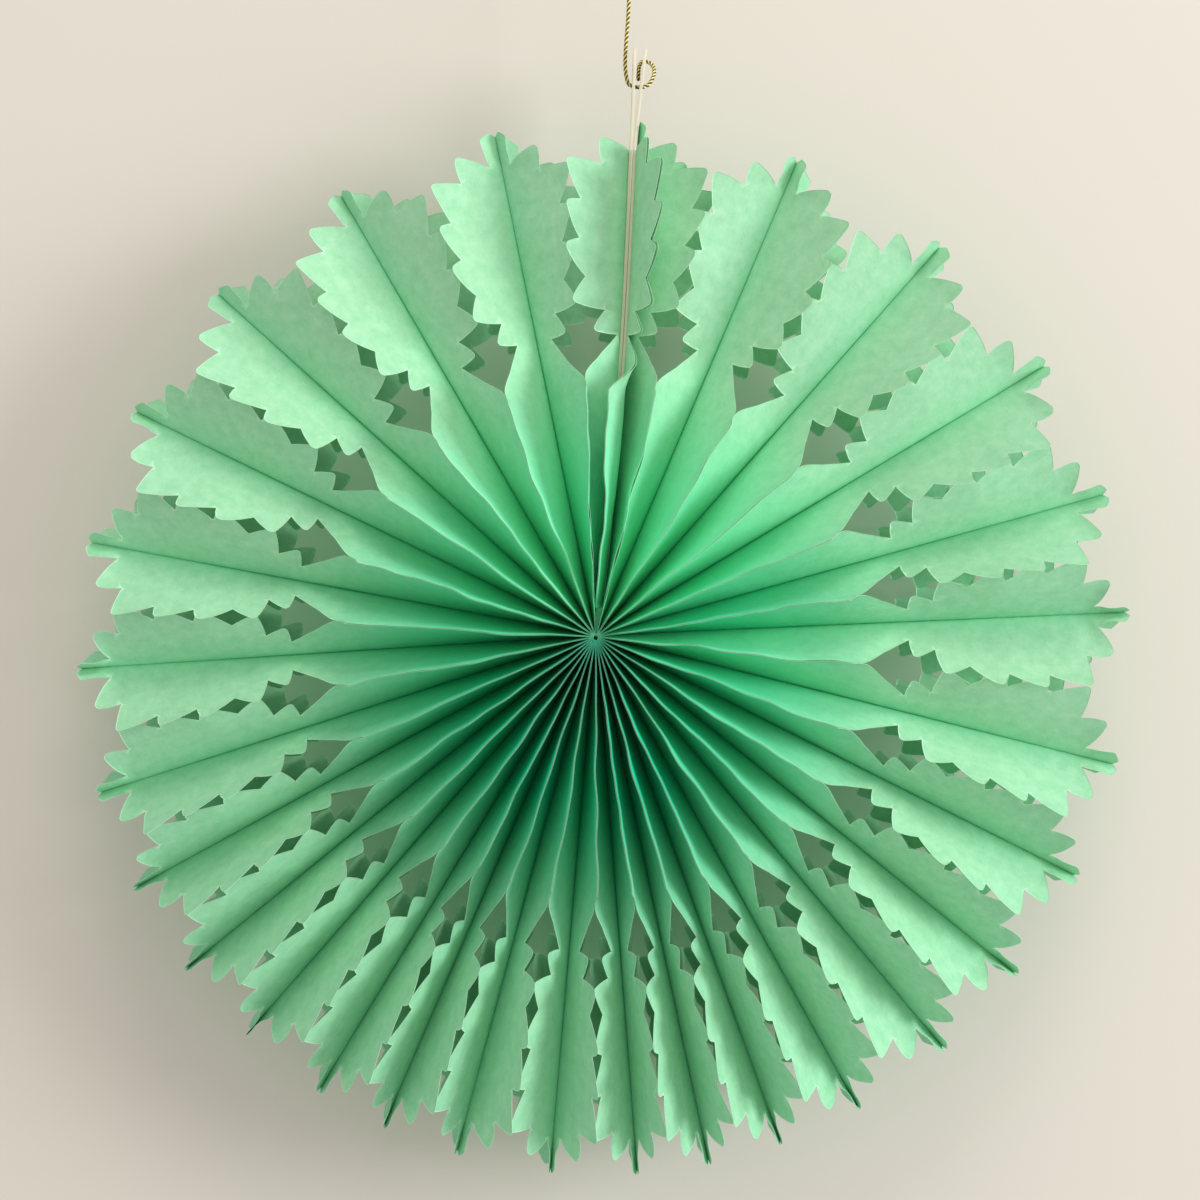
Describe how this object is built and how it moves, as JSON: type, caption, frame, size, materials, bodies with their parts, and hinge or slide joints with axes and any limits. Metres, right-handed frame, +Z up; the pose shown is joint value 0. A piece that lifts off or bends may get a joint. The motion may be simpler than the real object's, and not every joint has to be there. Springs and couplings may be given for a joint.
{
  "type": "paper fan rosette",
  "caption": "Round honeycomb fan of die-cut tissue sheets glued into petals round a hub, closed by two stiff end cards and hung on a gold cord.",
  "frame": {"origin": "the top of the cord's eye, where a hook or nail holds the fan", "axes": "+Z up along the hanging cord, -Y towards the front of the fan, +X to the right seen from the front"},
  "size_m": [0.4054, 0.075, 0.4785],
  "materials": {
    "tissue": "matte mint green tissue",
    "card": "matte uncoated board",
    "cord": "twisted metallic gold thread"
  },
  "bodies": {
    "root": {"petal_01_left_sheet": "tissue", "petal_01_right_sheet": "tissue", "petal_02_left_sheet": "tissue", "petal_02_right_sheet": "tissue", "petal_03_left_sheet": "tissue", "petal_03_right_sheet": "tissue", "petal_04_left_sheet": "tissue", "petal_04_right_sheet": "tissue", "petal_05_left_sheet": "tissue", "petal_05_right_sheet": "tissue", "petal_06_left_sheet": "tissue", "petal_06_right_sheet": "tissue", "petal_07_left_sheet": "tissue", "petal_07_right_sheet": "tissue", "petal_08_left_sheet": "tissue", "petal_08_right_sheet": "tissue", "petal_09_left_sheet": "tissue", "petal_09_right_sheet": "tissue", "petal_10_left_sheet": "tissue", "petal_10_right_sheet": "tissue", "petal_11_left_sheet": "tissue", "petal_11_right_sheet": "tissue", "petal_12_left_sheet": "tissue", "petal_12_right_sheet": "tissue", "petal_13_left_sheet": "tissue", "petal_13_right_sheet": "tissue", "petal_14_left_sheet": "tissue", "petal_14_right_sheet": "tissue", "petal_15_left_sheet": "tissue", "petal_15_right_sheet": "tissue", "petal_16_left_sheet": "tissue", "petal_16_right_sheet": "tissue", "petal_17_left_sheet": "tissue", "petal_17_right_sheet": "tissue", "petal_18_left_sheet": "tissue", "petal_18_right_sheet": "tissue", "petal_19_left_sheet": "tissue", "petal_19_right_sheet": "tissue", "petal_20_left_sheet": "tissue", "petal_20_right_sheet": "tissue", "petal_21_left_sheet": "tissue", "petal_21_right_sheet": "tissue", "petal_22_left_sheet": "tissue", "petal_22_right_sheet": "tissue", "petal_23_left_sheet": "tissue", "petal_23_right_sheet": "tissue", "petal_24_left_sheet": "tissue", "petal_24_right_sheet": "tissue", "petal_25_left_sheet": "tissue", "petal_25_right_sheet": "tissue", "petal_26_left_sheet": "tissue", "petal_26_right_sheet": "tissue", "petal_27_left_sheet": "tissue", "petal_27_right_sheet": "tissue", "petal_28_left_sheet": "tissue", "petal_28_right_sheet": "tissue", "collapsed_petal_sheets": "tissue", "left_end_card": "card", "right_end_card": "card", "hanging_cord": "cord"}
  },
  "joints": []
}
